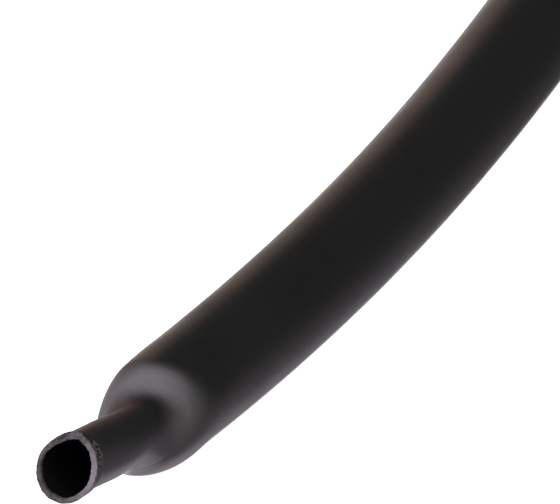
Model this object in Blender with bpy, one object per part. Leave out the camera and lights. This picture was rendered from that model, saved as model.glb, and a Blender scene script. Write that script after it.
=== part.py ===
"""A length of 2:1 heat shrink tube, shrunk at one end. Metres, +Z up, lying on the floor.

The tube is one thin wall swept along a level, gently bent centre line. Station s runs from
the shrunk mouth (s = 0) to the plain far end (s = LENGTH). The mouth is near the -X end.
"""

import math

import bpy
import bmesh
from mathutils import Matrix, Vector

# Stock sizes: the tube as supplied, and as it is after shrinking
LENGTH = 0.300
EXPANDED_BORE = 0.0187
EXPANDED_WALL = 0.0004
RECOVERED_BORE = 0.0086
RECOVERED_WALL = 0.00078

# Shrunk end: its straight run, then the foot and the crown of the shoulder
RECOVERED_RUN = 0.0173
FOOT_RUN = 0.0067
CROWN_RUN = 0.0068

# How much of a quarter ellipse the arc of the foot and the arc of the crown take up
FOOT_REACH = 0.77
CROWN_REACH = 0.83

# Lip at the mouth: it flares out over a short run and is a little thicker at the cut
LIP_RUN = 0.0030
LIP_FLARE = 0.00078
LIP_WALL = 0.00094

# Slope of the knife cut against a square cut, upwards and sideways
CUT_RISE = 0.34
CUT_TURN = 0.16
CUT_FADE = 0.010

# Lean of the shoulder: how far back its foot and crown lie at their top and at their right,
# and how far forward at their bottom and left
FOOT_BACK = 0.0052
FOOT_SIDE_BACK = 0.0038
CROWN_BACK = 0.0054
CROWN_SIDE_BACK = 0.0005
LEAN_START = 0.002
SHOULDER_FADE = 0.030

# How much less far back the crown's top lies, and how much further the shoulder reaches both
# ways at its right and at its bottom
TOP_SQUARE = 0.0055
SPREAD = 0.0033

# The shrunk end lies a little to one side and low, against the axis of the wide run
NECK_ASIDE = 0.0020
NECK_LOW = 0.00045

# Runs before and after the shoulder over which the axis moves across
ASIDE_LEAD = 0.0052
ASIDE_TRAIL = 0.0108

# Bend radius of the centre line: at the mouth, and at the near and far end of the wide run
MOUTH_BEND_RADIUS = 0.1106
NEAR_BEND_RADIUS = 0.813
FAR_BEND_RADIUS = 2.78
MOUTH_BEND_FADE = 0.059

# Resolution
SIDES = 36
LIP_STATIONS = 5
NECK_STATIONS = 9
FOOT_STATIONS = 6
CROWN_STATIONS = 8
WIDE_STATIONS = 24
LINE_STEPS = 1200
SLOPE_PARTS = 400

COLOUR = (0.010, 0.010, 0.0105, 1.0)
ROUGHNESS = 0.55

EXPANDED_RADIUS = EXPANDED_BORE / 2 + EXPANDED_WALL
RECOVERED_RADIUS = RECOVERED_BORE / 2 + RECOVERED_WALL
SHOULDER_START = RECOVERED_RUN
CROWN_START = RECOVERED_RUN + FOOT_RUN
WIDE_START = RECOVERED_RUN + FOOT_RUN + CROWN_RUN


def smooth(value):
    """Ease from 0 to 1 with level ends."""
    u = min(max(value, 0.0), 1.0)
    return u * u * (3.0 - 2.0 * u)


def clear_scene():
    for item in list(bpy.data.objects):
        bpy.data.objects.remove(item, do_unlink=True)


def arc(share, reach):
    """Height of an elliptical arc, from 0 to 1, that stops short of its upright end."""
    return (1.0 - math.sqrt(1.0 - (reach * share) ** 2)) / (1.0 - math.sqrt(1.0 - reach * reach))


def arc_end_slope(reach):
    """Slope of that arc where it stops."""
    root = math.sqrt(1.0 - reach * reach)
    return reach * reach / (root * (1.0 - root))


def foot_share():
    """Part of the shoulder's height in the foot, so that foot and crown meet at one slope."""
    foot = arc_end_slope(FOOT_REACH) / FOOT_RUN
    crown = arc_end_slope(CROWN_REACH) / CROWN_RUN
    return crown / (foot + crown)


def outer_radius(s):
    """Outside radius of the tube at station s."""
    step = EXPANDED_RADIUS - RECOVERED_RADIUS
    foot_height = foot_share() * step
    if s <= SHOULDER_START:
        lip = 1.0 - smooth(s / LIP_RUN)
        return RECOVERED_RADIUS + LIP_FLARE * lip
    if s <= CROWN_START:
        return RECOVERED_RADIUS + foot_height * arc((s - SHOULDER_START) / FOOT_RUN, FOOT_REACH)
    if s <= WIDE_START:
        return EXPANDED_RADIUS - (step - foot_height) * arc((WIDE_START - s) / CROWN_RUN, CROWN_REACH)
    return EXPANDED_RADIUS


def steepness(s):
    """Slope of the outside along the shoulder, none elsewhere."""
    if s <= SHOULDER_START or s >= WIDE_START:
        return 0.0
    gap = (WIDE_START - SHOULDER_START) / SLOPE_PARTS
    return (outer_radius(s + gap) - outer_radius(s - gap)) / (2 * gap)


def wall(s):
    """Wall at station s, measured square to the axis: it thickens where the tube has shrunk."""
    share = smooth((s - SHOULDER_START) / (WIDE_START - SHOULDER_START))
    plain = RECOVERED_WALL + (EXPANDED_WALL - RECOVERED_WALL) * share
    plain += (LIP_WALL - RECOVERED_WALL) * (1.0 - smooth(s / LIP_RUN))
    return plain * math.hypot(1.0, steepness(s))


def even(start, end, count):
    """Evenly spaced stations after start, up to and with end."""
    return [start + (end - start) * i / count for i in range(1, count + 1)]


def arc_shares(count, reach):
    """Shares along an arc, closer together where it is steep."""
    whole = math.asin(reach)
    return [math.sin(whole * i / count) / reach for i in range(1, count + 1)]


def stations():
    """Stations of the rings, closer together where the profile turns."""
    values = [0.0]
    values += even(0.0, LIP_RUN, LIP_STATIONS)
    values += even(LIP_RUN, SHOULDER_START, NECK_STATIONS)
    foot = arc_shares(FOOT_STATIONS, FOOT_REACH)
    crown = arc_shares(CROWN_STATIONS, CROWN_REACH)
    values += [SHOULDER_START + FOOT_RUN * share for share in foot]
    values += [WIDE_START - CROWN_RUN * share for share in reversed(crown[:-1])]
    values += [WIDE_START]
    values += even(WIDE_START, LENGTH, WIDE_STATIONS)
    return values


def bend(s):
    """Curvature of the centre line at station s, in 1/m."""
    share = smooth(s / MOUTH_BEND_FADE)
    near = 1.0 / NEAR_BEND_RADIUS
    wide = near + (1.0 / FAR_BEND_RADIUS - near) * s / LENGTH
    return (1.0 - share) / MOUTH_BEND_RADIUS + wide * share


def centre_line():
    """Points and headings of the level centre line, by small even steps from the mouth."""
    step = LENGTH / LINE_STEPS
    x = 0.0
    y = 0.0
    heading = 0.0
    points = [(x, y)]
    headings = [heading]
    for i in range(LINE_STEPS):
        middle = heading + bend((i + 0.25) * step) * step / 2
        x += math.cos(middle) * step
        y += math.sin(middle) * step
        heading += bend((i + 0.5) * step) * step
        points.append((x, y))
        headings.append(heading)
    return points, headings


def turn_to_length(points, headings):
    """Turn the centre line so that the ends of the wide run lie one behind the other on +X."""
    near = points[round(WIDE_START / LENGTH * LINE_STEPS)]
    angle = math.atan2(points[-1][1] - near[1], points[-1][0] - near[0])
    cosine = math.cos(-angle)
    sine = math.sin(-angle)
    turned = [(x * cosine - y * sine, x * sine + y * cosine) for x, y in points]
    return turned, [heading - angle for heading in headings]


def line_at(points, headings, s):
    """Point and heading of the centre line at station s."""
    place = min(s / LENGTH * LINE_STEPS, LINE_STEPS - 1e-9)
    index = int(place)
    share = place - index
    x = points[index][0] * (1.0 - share) + points[index + 1][0] * share
    y = points[index][1] * (1.0 - share) + points[index + 1][1] * share
    heading = headings[index] * (1.0 - share) + headings[index + 1] * share
    return x, y, heading


def aside_share(s):
    """How far the axis is still the shrunk end's own sideways, from 1 at the mouth to 0."""
    start = SHOULDER_START - ASIDE_LEAD
    end = WIDE_START + ASIDE_TRAIL
    return 1.0 - smooth((s - start) / (end - start))


def low_share(s):
    """How far the axis is still low: none where the outside has its full width."""
    missing = EXPANDED_RADIUS - outer_radius(s)
    return min(1.0, missing / (EXPANDED_RADIUS - RECOVERED_RADIUS))


def shoulder_back(s, cosine, sine):
    """How far back a corner at station s lies through the lean of the shoulder."""
    spread = SPREAD * (max(0.0, cosine) ** 2 + max(0.0, -sine) ** 2)
    foot = FOOT_SIDE_BACK * cosine + FOOT_BACK * sine - spread
    crown = CROWN_SIDE_BACK * cosine + CROWN_BACK * sine + spread
    crown -= TOP_SQUARE * max(0.0, sine) ** 2
    if s <= SHOULDER_START:
        return foot * smooth((s - LEAN_START) / (SHOULDER_START - LEAN_START))
    if s <= WIDE_START:
        return foot + (crown - foot) * (s - SHOULDER_START) / (WIDE_START - SHOULDER_START)
    return crown * (1.0 - smooth((s - WIDE_START) / SHOULDER_FADE))


def ring(points, headings, s, radius):
    """Corners of one ring, with a level facet at the bottom."""
    x, y, heading = line_at(points, headings, s)
    along = Vector((math.cos(heading), math.sin(heading), 0.0))
    aside = Vector((math.sin(heading), -math.cos(heading), 0.0))
    up = Vector((0.0, 0.0, 1.0))
    centre = Vector((x, y, EXPANDED_RADIUS))
    centre += aside * NECK_ASIDE * aside_share(s) - up * NECK_LOW * low_share(s)
    cut = 1.0 - smooth(s / CUT_FADE)
    corners = []
    for i in range(SIDES):
        angle = 2.0 * math.pi * (i + 0.5) / SIDES - math.pi / 2
        cosine = math.cos(angle)
        sine = math.sin(angle)
        back = shoulder_back(s, cosine, sine)
        back += cut * radius * (CUT_TURN * cosine + CUT_RISE * sine)
        corners.append(centre + (aside * cosine + up * sine) * radius + along * back)
    return corners


def add_skin(mesh, rings):
    """Join rings of corners into a skin and return its rings of vertices."""
    rows = [[mesh.verts.new(corner) for corner in corners] for corners in rings]
    for first, second in zip(rows, rows[1:]):
        for i in range(SIDES):
            j = (i + 1) % SIDES
            mesh.faces.new((first[i], first[j], second[j], second[i]))
    return rows


def close_end(mesh, outer, inner):
    """Join the two skins across the wall at one end."""
    for i in range(SIDES):
        j = (i + 1) % SIDES
        mesh.faces.new((outer[i], outer[j], inner[j], inner[i]))


def tube_mesh():
    points, headings = turn_to_length(*centre_line())
    mesh = bmesh.new()
    places = stations()
    outside = [ring(points, headings, s, outer_radius(s)) for s in places]
    inside = [ring(points, headings, s, outer_radius(s) - wall(s)) for s in places]
    outer = add_skin(mesh, outside)
    inner = add_skin(mesh, inside)
    close_end(mesh, outer[0], inner[0])
    close_end(mesh, outer[-1], inner[-1])
    bmesh.ops.recalc_face_normals(mesh, faces=mesh.faces)
    bmesh.ops.triangulate(mesh, faces=mesh.faces)
    return mesh


def rest_on_origin(mesh):
    """Move the tube so that the origin is under the middle of its box, on the floor."""
    lows = [min(vertex.co[axis] for vertex in mesh.verts) for axis in range(3)]
    highs = [max(vertex.co[axis] for vertex in mesh.verts) for axis in range(3)]
    shift = Vector((-(lows[0] + highs[0]) / 2, -(lows[1] + highs[1]) / 2, -lows[2]))
    bmesh.ops.transform(mesh, matrix=Matrix.Translation(shift), verts=mesh.verts)


def tube_material():
    material = bpy.data.materials.new("black_polyolefin")
    material.use_nodes = True
    shader = material.node_tree.nodes["Principled BSDF"]
    shader.inputs["Base Color"].default_value = COLOUR
    shader.inputs["Roughness"].default_value = ROUGHNESS
    return material


def build():
    clear_scene()
    mesh = tube_mesh()
    rest_on_origin(mesh)
    data = bpy.data.meshes.new("heat_shrink_tube")
    mesh.to_mesh(data)
    mesh.free()
    data.materials.append(tube_material())
    tube = bpy.data.objects.new("heat_shrink_tube", data)
    bpy.context.scene.collection.objects.link(tube)


build()
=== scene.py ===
import math

import bpy
import numpy as np
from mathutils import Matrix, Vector, noise


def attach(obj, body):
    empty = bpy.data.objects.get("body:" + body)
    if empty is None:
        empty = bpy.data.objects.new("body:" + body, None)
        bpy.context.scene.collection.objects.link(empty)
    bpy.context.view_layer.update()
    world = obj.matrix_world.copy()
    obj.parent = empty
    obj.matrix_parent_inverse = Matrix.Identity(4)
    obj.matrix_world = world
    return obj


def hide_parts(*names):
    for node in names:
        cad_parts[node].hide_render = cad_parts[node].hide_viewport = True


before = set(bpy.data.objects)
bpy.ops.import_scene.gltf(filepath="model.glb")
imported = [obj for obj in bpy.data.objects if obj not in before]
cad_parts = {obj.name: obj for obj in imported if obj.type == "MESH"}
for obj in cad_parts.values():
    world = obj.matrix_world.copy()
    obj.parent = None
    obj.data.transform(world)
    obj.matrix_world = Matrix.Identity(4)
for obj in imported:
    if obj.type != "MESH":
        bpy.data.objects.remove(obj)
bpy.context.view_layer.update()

# The tube's own sizes, as in the CAD source, in metres
LENGTH = 0.300
EXPANDED_RADIUS = 0.00975
EXPANDED_WALL = 0.0004
RECOVERED_RADIUS = 0.00508
RECOVERED_WALL = 0.00078
RECOVERED_RUN = 0.0173
FOOT_RUN = 0.0067
CROWN_RUN = 0.0068
FOOT_REACH = 0.77
CROWN_REACH = 0.83
LIP_RUN = 0.0030
LIP_FLARE = 0.00078
LIP_WALL = 0.00094
CUT_RISE = 0.34
CUT_TURN = 0.16
CUT_FADE = 0.010
FOOT_BACK = 0.0052
FOOT_SIDE_BACK = 0.0038
CROWN_BACK = 0.0054
CROWN_SIDE_BACK = 0.0005
TOP_SQUARE = 0.0055
SPREAD = 0.0033
LEAN_START = 0.002
SHOULDER_FADE = 0.030
NECK_ASIDE = 0.0020
NECK_LOW = 0.00045
ASIDE_LEAD = 0.0052
ASIDE_TRAIL = 0.0108
MOUTH_BEND = 1.0 / 0.1106
NEAR_BEND = 1.0 / 0.813
FAR_BEND = 1.0 / 2.78
MOUTH_BEND_FADE = 0.059
WIDE_START = RECOVERED_RUN + FOOT_RUN + CROWN_RUN

# Where the mouth's centre and heading lie in the CAD frame
MOUTH = (-0.1488464, 0.0084589)
MOUTH_HEADING = math.radians(-22.1085)
AXIS_HEIGHT = 0.0097129

# The skin's mesh: points round the tube, and rings over the cut's width from the outer edge
SIDES = 200
CUT_SHARES = (0.04, 0.10, 0.18, 0.26, 0.34, 0.42, 0.50, 0.58, 0.66, 0.74, 0.82, 0.90, 0.96)

# Fine relief round the mouth: runs along the tube, heights and depths, in metres
ROLLED_RADIUS = 0.00578
ROLLED_RUN = 0.0016
ROLLED_FADE = 0.0004
FOLD_AT = 0.0022
FOLD_DEPTH = 0.00026
FOLD_DEPTH_ALL_ROUND = 0.00004
RIDGE_AT = 0.0029
RIDGE_HEIGHT = 0.00006
FULL_TOP_HEIGHT = 0.00034
TEAR_DEPTH = 0.00046
TEAR_GRAIN_RUN = 0.004
LIP_FADE = 0.0022
KNIFE_FADE = 0.0015
KNIFE_LINE_HEIGHT = 0.00015
CUT_CROWN = 0.00006

# Fine relief further back
CREASE_AT = 0.02297
CREASE_CLIMB = 0.000045
CREASE_DEPTH = 0.00006
RIPPLE_DEPTH = 0.00004
RIPPLE_START_RUN = 0.02

# Colours of the material
SKIN_DARK = (0.0031, 0.0033, 0.0033)
SKIN_LIGHT = (0.0041, 0.0042, 0.0042)
SHRUNK_COLOUR = (0.0026, 0.0029, 0.0038)
# Painted highlight: a warm band, far lighter than the skin, along the upper left of the shrunk end
PAINTED_HIGHLIGHT_COLOUR = (0.080, 0.054, 0.040)
BORE_COLOUR = (0.0012, 0.0012, 0.0012)
CHIP_DARK = (0.0015, 0.0015, 0.0015)
CHIP_LIGHT = (0.064, 0.060, 0.062)
CUT_DARK = (0.010, 0.010, 0.010)
CUT_LIGHT = (0.068, 0.065, 0.067)
# Painted light: the right side of the cut face made lighter, as if lit from there
CUT_LIT_SIDE_COLOUR = (0.180, 0.172, 0.178)
# Darker brown-grey towards the lower left of the cut face
CUT_LOWER_LEFT_DARK = (0.028, 0.024, 0.018)

# The floor's half width in metres, and its own light
FLOOR_HALF = 6.0
FLOOR_COLOUR = (0.84, 0.84, 0.85)
FLOOR_LIGHT = 0.9

# Camera: a long lens, looking down by 20 degrees
YAW = math.radians(-72.3612)
PITCH = math.radians(20.0)
LENS = 1129.35
CAMERA_PLACE = (-2.81234, -0.87671, 1.06998)

# The photo's view as directions on the level: the lights are placed by them
FORWARD = Vector((-math.sin(YAW), math.cos(YAW), 0.0))
RIGHT = Vector((math.cos(YAW), math.sin(YAW), 0.0))
UP = Vector((0.0, 0.0, 1.0))

# Soft lights of the studio and of its pale floor, as the tube mirrors them: azimuth to the
# right of the view's heading, elevation, angle of the even middle, angle of the edge, radiance
SOFT_LIGHTS = {
    "key": (-115.0, 23.0, 37.0, 77.0, (2.16, 1.96, 2.25)),
    "right": (151.0, 49.0, 19.0, 42.0, (1.44, 1.25, 1.36)),
    "right_low": (104.0, 14.0, 9.0, 26.0, (0.88, 0.80, 0.81)),
    "left_edge": (-45.0, -7.0, 16.0, 23.0, (1.05, 1.16, 1.49)),
    "warm_edge": (-7.0, -21.0, 13.0, 20.0, (2.56, 2.47, 2.52)),
    "warm_back": (-38.0, 5.0, 31.0, 40.0, (0.68, 0.47, 0.38)),
    "front_floor": (113.0, -62.0, 55.0, 73.0, (0.45, 0.35, 0.42)),
    "near_floor": (8.0, -68.0, 34.0, 46.0, (1.14, 1.06, 1.16)),
}
DIM_ROOM = (0.082, 0.090, 0.083)


def smooth(value):
    """Smooth step from 0 to 1 while the value goes from 0 to 1."""
    u = np.clip(value, 0.0, 1.0)
    return u * u * (3.0 - 2.0 * u)


def fade(s, run):
    """From 1 at the cut down to 0 over a run along the tube."""
    return 1.0 - smooth(s / run)


def hill(s, centre, width):
    """Smooth hill of height 1 around a station along the tube."""
    return np.exp(-((s - centre) / width) ** 2)


def bump(degrees, centre, width):
    """Smooth hill of height 1 around an angle: 0 is right and 90 is up, seen at the mouth."""
    gap = (degrees - centre + 180.0) % 360.0 - 180.0
    return np.exp(-((gap / width) ** 2))


def arc(share, reach):
    """Height of an elliptical arc, from 0 to 1, that stops short of its upright end."""
    share = np.clip(share, 0.0, 1.0)
    return (1.0 - np.sqrt(1.0 - (reach * share) ** 2)) / (1.0 - math.sqrt(1.0 - reach * reach))


def arc_end_slope(reach):
    """Slope of the arc at its end, for a run of 1."""
    root = math.sqrt(1.0 - reach * reach)
    return reach * reach / (root * (1.0 - root))


def outer_radius(s):
    """Plain outer radius at stations along the axis, as in the CAD source."""
    step = EXPANDED_RADIUS - RECOVERED_RADIUS
    foot_slope = arc_end_slope(FOOT_REACH) / FOOT_RUN
    crown_slope = arc_end_slope(CROWN_REACH) / CROWN_RUN
    foot = step * crown_slope / (foot_slope + crown_slope)
    lip = RECOVERED_RADIUS + LIP_FLARE * fade(s, LIP_RUN)
    low = RECOVERED_RADIUS + foot * arc((s - RECOVERED_RUN) / FOOT_RUN, FOOT_REACH)
    high = EXPANDED_RADIUS - (step - foot) * arc((WIDE_START - s) / CROWN_RUN, CROWN_REACH)
    return np.where(s <= RECOVERED_RUN, lip, np.where(s <= RECOVERED_RUN + FOOT_RUN, low, high))


def wall(s):
    """Wall thickness, measured across the axis, so thicker where the shoulder is steep."""
    share = smooth((s - RECOVERED_RUN) / (WIDE_START - RECOVERED_RUN))
    plain = RECOVERED_WALL + (EXPANDED_WALL - RECOVERED_WALL) * share
    plain = plain + (LIP_WALL - RECOVERED_WALL) * fade(s, LIP_RUN)
    gap = 0.00002
    slope = (outer_radius(s + gap) - outer_radius(s - gap)) / (2.0 * gap)
    inside = (s > RECOVERED_RUN) & (s < WIDE_START)
    return plain * np.where(inside, np.hypot(1.0, slope), 1.0)


def running_sum(values, step):
    """Sum of the values over the steps, from 0 at the first one."""
    return np.concatenate([[0.0], np.cumsum((values[1:] + values[:-1]) / 2 * step)])


def centre_line(s):
    """Axis points, without the shrunk end's offset, and headings at the stations."""
    fine = np.linspace(0.0, LENGTH, 3001)
    step = np.diff(fine)
    share = smooth(fine / MOUTH_BEND_FADE)
    wide = NEAR_BEND + (FAR_BEND - NEAR_BEND) * fine / LENGTH
    heading = MOUTH_HEADING + running_sum(MOUTH_BEND * (1.0 - share) + wide * share, step)
    x = running_sum(np.cos(heading), step) + MOUTH[0] - math.sin(MOUTH_HEADING) * NECK_ASIDE
    y = running_sum(np.sin(heading), step) + MOUTH[1] + math.cos(MOUTH_HEADING) * NECK_ASIDE
    return np.interp(s, fine, x), np.interp(s, fine, y), np.interp(s, fine, heading)


def shoulder_back(s, cosine, sine):
    """How far back a point at station s lies through the lean of the shoulder."""
    spread = SPREAD * (np.maximum(0.0, cosine) ** 2 + np.maximum(0.0, -sine) ** 2)
    foot = FOOT_SIDE_BACK * cosine + FOOT_BACK * sine - spread
    crown = CROWN_SIDE_BACK * cosine + CROWN_BACK * sine + spread
    crown = crown - TOP_SQUARE * np.maximum(0.0, sine) ** 2
    risen = smooth((s - LEAN_START) / (RECOVERED_RUN - LEAN_START))
    across = np.clip((s - RECOVERED_RUN) / (WIDE_START - RECOVERED_RUN), 0.0, 1.0)
    faded = 1.0 - smooth((s - WIDE_START) / SHOULDER_FADE)
    return (foot * risen * (1.0 - across) + crown * across) * faded


def place(s, degrees, radius, along_shift):
    """Points of the tube's surface: s and degrees are grids of one shape."""
    x, y, heading = centre_line(s)
    aside_start = RECOVERED_RUN - ASIDE_LEAD
    share = 1.0 - smooth((s - aside_start) / (WIDE_START + ASIDE_TRAIL - aside_start))
    step = EXPANDED_RADIUS - RECOVERED_RADIUS
    low = np.minimum(1.0, (EXPANDED_RADIUS - outer_radius(s)) / step)
    cosine = np.cos(np.radians(degrees))
    sine = np.sin(np.radians(degrees))
    right = radius * cosine
    top = radius * sine
    slant = fade(s, CUT_FADE) * (CUT_TURN * right + CUT_RISE * top)
    back = shoulder_back(s, cosine, sine) + slant + along_shift
    aside = right + NECK_ASIDE * share
    px = x + np.sin(heading) * aside + np.cos(heading) * back
    py = y - np.cos(heading) * aside + np.sin(heading) * back
    pz = np.maximum(AXIS_HEIGHT - NECK_LOW * low + top, 0.0)
    return np.stack([px, py, pz], axis=-1)


def waves(degrees, seed, count, low, high):
    """Seeded sum of waves round the tube, about -1 to 1."""
    rng = np.random.default_rng(seed)
    total = np.zeros_like(degrees, dtype=float)
    for number in rng.integers(low, high, count):
        total += np.sin(np.radians(degrees) * number + rng.uniform(0.0, 6.283))
    return total / math.sqrt(count)


def grid_noise(points, scale, seed):
    """Smooth noise at grid points, about -1 to 1."""
    offset = Vector((seed * 7.1, seed * 3.7, seed * 5.3))
    values = [noise.noise(Vector(point) * scale + offset) for point in points.reshape(-1, 3)]
    return np.array(values).reshape(points.shape[:-1]) * 1.6


def arc_shares(count, reach):
    """Shares of an arc's run that turn its slope by even steps."""
    return np.sin(np.linspace(0.0, math.asin(reach), count)) / reach


def outer_stations():
    """Stations of the outer rings, close together at the mouth and over the shoulder."""
    return np.concatenate([
        np.linspace(0.0001, 0.0032, 27),
        np.linspace(0.0038, RECOVERED_RUN - 0.0004, 30),
        RECOVERED_RUN + FOOT_RUN * arc_shares(36, FOOT_REACH),
        (WIDE_START - CROWN_RUN * arc_shares(28, CROWN_REACH)[:-1])[::-1],
        WIDE_START + np.linspace(0.0006, 0.0120, 18),
        np.linspace(WIDE_START + 0.0143, LENGTH - 0.0004, 108),
        [LENGTH - 0.0001, LENGTH],
    ])


def inner_stations():
    """Stations of the bore's rings."""
    return np.concatenate([
        np.linspace(0.0001, 0.0032, 14),
        np.linspace(0.0042, RECOVERED_RUN, 18),
        RECOVERED_RUN + FOOT_RUN * arc_shares(9, FOOT_REACH)[1:],
        (WIDE_START - CROWN_RUN * arc_shares(14, CROWN_REACH)[:-1])[::-1],
        np.linspace(WIDE_START + 0.002, LENGTH - 0.0001, 56),
        [LENGTH],
    ])


def lip_wall_gain(degrees):
    """How much thicker the wall is at the cut, round the mouth."""
    thick = 0.00040 * bump(degrees, 112, 32) + 0.00016 * bump(degrees, 30, 45)
    thin = 0.00014 * bump(degrees, 200, 55)
    uneven = 0.00005 * waves(degrees, 5, 6, 3, 9) + 0.00003 * waves(degrees, 8, 6, 9, 23)
    return thick - thin + uneven


def lip_bulge(degrees):
    """How much further out than a plain circle the lip is, round the mouth."""
    flat = 0.00034 * bump(degrees, 132, 30)
    return 0.00010 * bump(degrees, 80, 22) + 0.00012 * bump(degrees, 285, 50) - flat


def knife_steps(degrees):
    """Steps along the axis that the knife left in the cut."""
    first = (degrees - 74.0) % 360.0
    second = (degrees - 118.0) % 360.0
    steps = np.where(first < 90.0, 0.00024 * (1.0 - first / 90.0), 0.0)
    steps += np.where(second < 60.0, 0.00014 * (1.0 - second / 60.0), 0.0)
    return steps + 0.00005 * waves(degrees, 3, 9, 4, 40)


def knife_lines(degrees, share):
    """Ridges that the knife left along the top of the cut, across the wall's width."""
    along = (degrees - 112.0) / 30.0
    ridge = np.sin(2.0 * math.pi * (2.3 * share + 0.25 * along))
    return KNIFE_LINE_HEIGHT * ridge * bump(degrees, 108, 34)


def knife_shift(s, degrees):
    """How far the knife's steps set the skin back, fading behind the cut."""
    return knife_steps(degrees) * fade(s, KNIFE_FADE)


def fold_relief(s, degrees):
    """Gain in radius by the edge that is rolled over on the right, and the fold behind it."""
    share = bump(degrees, -15, 60)
    rolled = (1.0 - smooth((s - ROLLED_RUN) / ROLLED_FADE)) * (ROLLED_RADIUS - outer_radius(s))
    fold = hill(s, FOLD_AT, 0.00026) * (FOLD_DEPTH_ALL_ROUND + FOLD_DEPTH * share)
    ridge = hill(s, RIDGE_AT, 0.00030) * RIDGE_HEIGHT * share
    return np.maximum(rolled, 0.0) * share - fold + ridge


def full_top(s, degrees):
    """Gain in radius at the upper left of the shrunk end, just behind the lip."""
    run = smooth(s / 0.003) * (1.0 - smooth((s - 0.009) / 0.007))
    return FULL_TOP_HEIGHT * bump(degrees, 118, 42) * run


def tear_share(s, degrees):
    """How torn the skin beside the cut is, from 0 to 1: most at its upper right."""
    return hill(s, 0.0014, 0.0011) * bump(degrees, 42, 28)


def tear_relief(s, degrees):
    """Depth of the small tears, by noise over the skin near the mouth."""
    near = s[:, 0] < TEAR_GRAIN_RUN
    skin = place(s, degrees, outer_radius(s), 0.0)
    grain = np.zeros_like(s)
    grain[near] = grid_noise(skin[near], 2000.0, 2)
    return TEAR_DEPTH * tear_share(s, degrees) * np.clip(0.3 + grain * 1.8, 0.0, 1.2)


def crease_relief(s, degrees):
    """Depth of the fine groove across the lower right of the shoulder."""
    signed = (degrees + 180.0) % 360.0 - 180.0
    middle = CREASE_AT + CREASE_CLIMB * (signed + 46.0)
    return CREASE_DEPTH * hill(s, middle, 0.00024) * bump(degrees, -55, 24)


def ripple_relief(s, degrees):
    """Depth of the slight ripples of the wide part."""
    ease = smooth((s - WIDE_START) / RIPPLE_START_RUN)
    return ease * RIPPLE_DEPTH * (1.0 + waves(degrees + s * 900.0, 21, 3, 2, 4)) / 2


def outer_skin(s, degrees):
    """Outer radius with all its relief."""
    lip = lip_bulge(degrees) + 0.00003 * waves(degrees, 11, 8, 3, 24)
    radius = outer_radius(s) + fold_relief(s, degrees) + full_top(s, degrees)
    radius = radius - tear_relief(s, degrees) + fade(s, LIP_FADE) * lip
    return radius - crease_relief(s, degrees) - ripple_relief(s, degrees)


def inner_skin(s, degrees):
    """Radius of the bore, uneven at the lip."""
    lip = lip_bulge(degrees) - lip_wall_gain(degrees)
    return outer_radius(s) - wall(s) + fade(s, LIP_FADE) * lip


def cut_face(degrees, outer_edge, inner_edge):
    """Rings over the cut face, from its outer edge to the bore, with the knife's marks."""
    rings = []
    for share in CUT_SHARES:
        radius = outer_edge + (inner_edge - outer_edge) * share
        crown = CUT_CROWN * (1.0 - (2.0 * share - 1.0) ** 2)
        shift = knife_steps(degrees) - crown + knife_lines(degrees, share)
        rings.append(place(np.zeros(SIDES), degrees, radius, shift))
    face = np.array(rings)
    rough = grid_noise(face, 3800.0, 9) * 0.00005 + grid_noise(face, 1100.0, 4) * 0.00006
    forward = np.array([math.cos(MOUTH_HEADING), math.sin(MOUTH_HEADING), 0.0])
    return face + rough[..., None] * forward


def ring_faces(count):
    """Quads between rings that follow each other; the last ring joins the first."""
    side = np.arange(SIDES)
    after = (side + 1) % SIDES
    faces = []
    for ring in range(count):
        here = ring * SIDES
        there = (ring + 1) % count * SIDES
        quads = np.stack([here + side, there + side, there + after, here + after], axis=1)
        faces.extend(quads.tolist())
    return faces


def zone_values(s, degrees, inner_count):
    """Values from 0 to 1 that tell the tube's zones apart for the material, by name."""
    first_outer = inner_count + len(CUT_SHARES)
    count = first_outer + len(s)
    ring = np.repeat(np.arange(count)[:, None], SIDES, axis=1)
    bore = (ring < inner_count - 2).astype(float)
    cut = ((ring >= inner_count - 2) & (ring < first_outer + 1)).astype(float)
    outside = {
        # Painted highlight, warm in tint, along the upper left of the shrunk end
        "upper_left_highlight": bump(degrees, 118, 29) * (1.0 - smooth((s - 0.011) / 0.010)),
        "shrunk": 1.0 - smooth((s - 0.012) / 0.010),
        "torn": np.clip(tear_share(s, degrees) * 1.3, 0.0, 1.0),
    }
    values = {
        "cut": cut,
        "bore": bore,
        "dull": bore + 0.8 * cut,
        # Painted light on the right side of the cut face
        "pale": cut * 0.65 * bump(degrees[0], -8, 50),
        # Darker brown-grey towards the lower left of the cut face
        "cut_lower_left_dark": cut * 0.60 * bump(degrees[0], 225, 70),
    }
    for name, shown in outside.items():
        values[name] = np.zeros((count, SIDES))
        values[name][first_outer:] = shown
    return values


def tube_mesh():
    """The tube as one closed skin: bore, cut face, outside and the ring at the far end."""
    around = np.arange(SIDES) * 360.0 / SIDES
    outer_s, outer_a = np.meshgrid(outer_stations(), around, indexing="ij")
    inner_s, inner_a = np.meshgrid(inner_stations(), around, indexing="ij")
    outer_r = outer_skin(outer_s, outer_a)
    inner_r = inner_skin(inner_s, inner_a)
    outer = place(outer_s, outer_a, outer_r, knife_shift(outer_s, outer_a))
    inner = place(inner_s, inner_a, inner_r, knife_shift(inner_s, inner_a))
    face = cut_face(around, outer_r[0], inner_r[0])
    rings = np.concatenate([inner[::-1], face[::-1], outer])
    mesh = bpy.data.meshes.new("tube_skin")
    mesh.from_pydata(rings.reshape(-1, 3).tolist(), [], ring_faces(len(rings)))
    for name, values in zone_values(outer_s, outer_a, len(inner)).items():
        layer = mesh.attributes.new(name, "FLOAT", "POINT")
        layer.data.foreach_set("value", values.ravel())
    mesh.polygons.foreach_set("use_smooth", [True] * len(mesh.polygons))
    mesh.validate()
    mesh.update()
    return mesh


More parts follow.
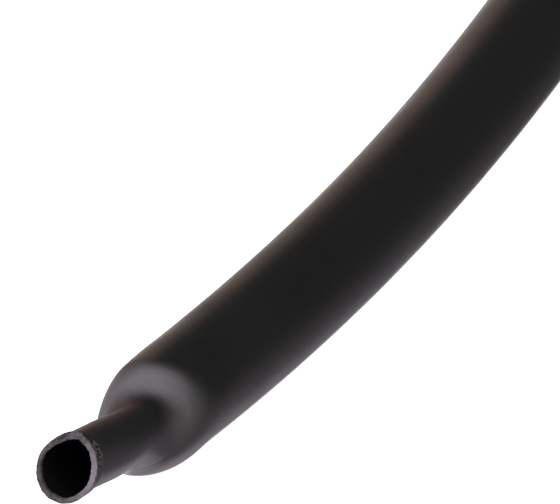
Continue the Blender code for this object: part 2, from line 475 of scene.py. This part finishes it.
def new_material(name):
    """A material with its shader node tree and its shader."""
    material = bpy.data.materials.new(name)
    material.use_nodes = True
    return material, material.node_tree, material.node_tree.nodes["Principled BSDF"]


def feed(tree, socket, value):
    """Link a node's output to a socket, or set a plain number, colour or direction on it."""
    if isinstance(value, bpy.types.NodeSocket):
        tree.links.new(value, socket)
    elif socket.type == "RGBA":
        socket.default_value = (*value, 1.0)
    else:
        socket.default_value = value


def calculate(tree, operation, *values, kind="ShaderNodeMath", result="Value"):
    """A math or vector math node over outputs and plain numbers."""
    node = tree.nodes.new(kind)
    node.operation = operation
    for socket, value in zip(node.inputs, values):
        feed(tree, socket, value)
    return node.outputs[result]


def noise_texture(tree, points, scale, detail):
    """Noise over the surface."""
    node = tree.nodes.new("ShaderNodeTexNoise")
    node.inputs["Scale"].default_value = scale
    node.inputs["Detail"].default_value = detail
    feed(tree, node.inputs["Vector"], points)
    return node.outputs["Fac"]


def colour_ramp(tree, value, start, start_colour, end, end_colour):
    """Colour that goes from one to another while the value goes from start to end."""
    node = tree.nodes.new("ShaderNodeValToRGB")
    first, last = node.color_ramp.elements
    first.position = start
    first.color = (*start_colour, 1.0)
    last.position = end
    last.color = (*end_colour, 1.0)
    feed(tree, node.inputs["Fac"], value)
    return node.outputs["Color"]


def map_range(tree, value, source, target, curve="LINEAR"):
    """Value carried over from a source range to a target range, and kept inside it."""
    node = tree.nodes.new("ShaderNodeMapRange")
    node.interpolation_type = curve
    for name, limit in zip(("From Min", "From Max", "To Min", "To Max"), (*source, *target)):
        node.inputs[name].default_value = limit
    feed(tree, node.inputs["Value"], value)
    return node.outputs["Result"]


def zone(tree, name):
    """Value of a zone, which the mesh carries."""
    node = tree.nodes.new("ShaderNodeAttribute")
    node.attribute_name = name
    return node.outputs["Fac"]


def blend(tree, name, first, second):
    """One colour outside a zone and another inside it."""
    node = tree.nodes.new("ShaderNodeMix")
    node.data_type = "RGBA"
    feed(tree, node.inputs["Factor"], zone(tree, name))
    feed(tree, node.inputs["A"], first)
    feed(tree, node.inputs["B"], second)
    return node.outputs["Result"]


def tube_colour(tree, points, cloud):
    """Black skin with a warm painted highlight along the upper left of the shrunk end, pale chips
    in the tears, and the worn grey cut, with painted light on its right side and a darker
    brown-grey lower left.
    """
    skin = colour_ramp(tree, cloud, 0.35, SKIN_DARK, 0.68, SKIN_LIGHT)
    skin = blend(tree, "shrunk", skin, SHRUNK_COLOUR)
    # Painted highlight along the upper left of the shrunk end
    skin = blend(tree, "upper_left_highlight", skin, PAINTED_HIGHLIGHT_COLOUR)
    skin = blend(tree, "bore", skin, BORE_COLOUR)
    chips = noise_texture(tree, points, 1800.0, 4.0)
    skin = blend(tree, "torn", skin, colour_ramp(tree, chips, 0.50, CHIP_DARK, 0.62, CHIP_LIGHT))
    streaks = noise_texture(tree, points, 900.0, 5.0)
    face = colour_ramp(tree, streaks, 0.36, CUT_DARK, 0.62, CUT_LIGHT)
    # Painted light on the right side of the cut face
    face = blend(tree, "pale", face, CUT_LIT_SIDE_COLOUR)
    # Darker brown-grey towards the lower left of the cut face
    face = blend(tree, "cut_lower_left_dark", face, CUT_LOWER_LEFT_DARK)
    return blend(tree, "cut", skin, face)


def tube_gloss(tree):
    """Specular level: low in the bore and on the cut, and falling towards grazing angles."""
    view_edge = tree.nodes.new("ShaderNodeLayerWeight")
    view_edge.inputs["Blend"].default_value = 0.5
    level = map_range(tree, zone(tree, "dull"), (0.0, 1.0), (1.0, 0.05))
    grazing = map_range(tree, view_edge.outputs["Facing"], (0.15, 0.85), (1.0, 0.06))
    return calculate(tree, "MULTIPLY", level, grazing)


def black_material():
    """Black cross-linked plastic with a soft sheen and a fine grain."""
    material, tree, shader = new_material("black_polyolefin_skin")
    points = tree.nodes.new("ShaderNodeTexCoord").outputs["Object"]
    cloud = noise_texture(tree, points, 60.0, 4.0)
    grain = noise_texture(tree, points, 1800.0, 3.0)
    rough = map_range(tree, cloud, (0.3, 0.7), (0.38, 0.45))
    relief = tree.nodes.new("ShaderNodeBump")
    relief.inputs["Strength"].default_value = 0.55
    relief.inputs["Distance"].default_value = 0.00007
    feed(tree, relief.inputs["Height"], grain)
    shader.inputs["IOR"].default_value = 1.5
    feed(tree, shader.inputs["Base Color"], tube_colour(tree, points, cloud))
    feed(tree, shader.inputs["Specular IOR Level"], tube_gloss(tree))
    dull_rough = calculate(tree, "MULTIPLY_ADD", zone(tree, "dull"), 0.25, rough)
    feed(tree, shader.inputs["Roughness"], dull_rough)
    feed(tree, shader.inputs["Normal"], relief.outputs["Normal"])
    return material


def floor_material():
    """Pale floor that gives off some light, so that it renders as white as the background."""
    material, tree, shader = new_material("pale_floor")
    feed(tree, shader.inputs["Base Color"], FLOOR_COLOUR)
    feed(tree, shader.inputs["Roughness"], 0.9)
    feed(tree, shader.inputs["Emission Color"], (1.0, 1.0, 1.0))
    feed(tree, shader.inputs["Emission Strength"], FLOOR_LIGHT)
    return material


def add_object(name, data):
    """A new object in the scene."""
    added = bpy.data.objects.new(name, data)
    bpy.context.scene.collection.objects.link(added)
    return added


def add_floor():
    """Level floor; the tube mirrors the world's low lights in its place."""
    corners = [(-1, -1), (1, -1), (1, 1), (-1, 1)]
    mesh = bpy.data.meshes.new("floor")
    mesh.from_pydata([(x * FLOOR_HALF, y * FLOOR_HALF, 0) for x, y in corners], [], [(0, 1, 2, 3)])
    mesh.materials.append(floor_material())
    floor = add_object("floor", mesh)
    floor.visible_glossy = False


def add_camera():
    """Camera at the photo's viewing angle."""
    data = bpy.data.cameras.new("camera")
    data.sensor_width = 36.0
    data.lens = LENS
    data.clip_start = 0.1
    data.clip_end = 50.0
    camera = add_object("camera", data)
    camera.location = CAMERA_PLACE
    camera.rotation_euler = (math.pi / 2 - PITCH, 0.0, YAW)
    bpy.context.scene.camera = camera


def disc_of_light(tree, direction, azimuth, elevation, inner, outer, radiance):
    """Light from one side of the room, even in the middle and fading smoothly to the edge."""
    a = math.radians(azimuth)
    e = math.radians(elevation)
    level = FORWARD * (math.cos(e) * math.cos(a)) + RIGHT * (math.cos(e) * math.sin(a))
    aim = level + UP * math.sin(e)
    turned = calculate(tree, "DOT_PRODUCT", direction, aim, kind="ShaderNodeVectorMath")
    angle = calculate(tree, "ARCCOSINE", turned)
    edges = (math.radians(outer), math.radians(inner))
    share = map_range(tree, angle, edges, (0.0, 1.0), "SMOOTHSTEP")
    scale = tree.nodes.new("ShaderNodeVectorMath")
    scale.operation = "SCALE"
    scale.inputs[0].default_value = radiance
    feed(tree, scale.inputs["Scale"], share)
    return scale.outputs["Vector"]


def soft_world():
    """Dim room with soft lights, made as smooth discs of light around the tube."""
    world = bpy.data.worlds.new("world")
    world.use_nodes = True
    world.cycles.sampling_method = "NONE"
    tree = world.node_tree
    direction = tree.nodes.new("ShaderNodeTexCoord").outputs["Generated"]
    room = tree.nodes.new("ShaderNodeCombineXYZ")
    for socket, value in zip(room.inputs, DIM_ROOM):
        socket.default_value = value
    total = room.outputs["Vector"]
    for light in SOFT_LIGHTS.values():
        disc = disc_of_light(tree, direction, *light)
        total = calculate(tree, "ADD", total, disc, kind="ShaderNodeVectorMath", result="Vector")
    feed(tree, tree.nodes["Background"].inputs["Color"], total)
    bpy.context.scene.world = world


tube = add_object("tube_skin", tube_mesh())
tube.data.materials.append(black_material())
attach(tube, "root")
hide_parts("heat_shrink_tube")

add_floor()
add_camera()
soft_world()
bpy.context.scene.view_settings.view_transform = "Standard"
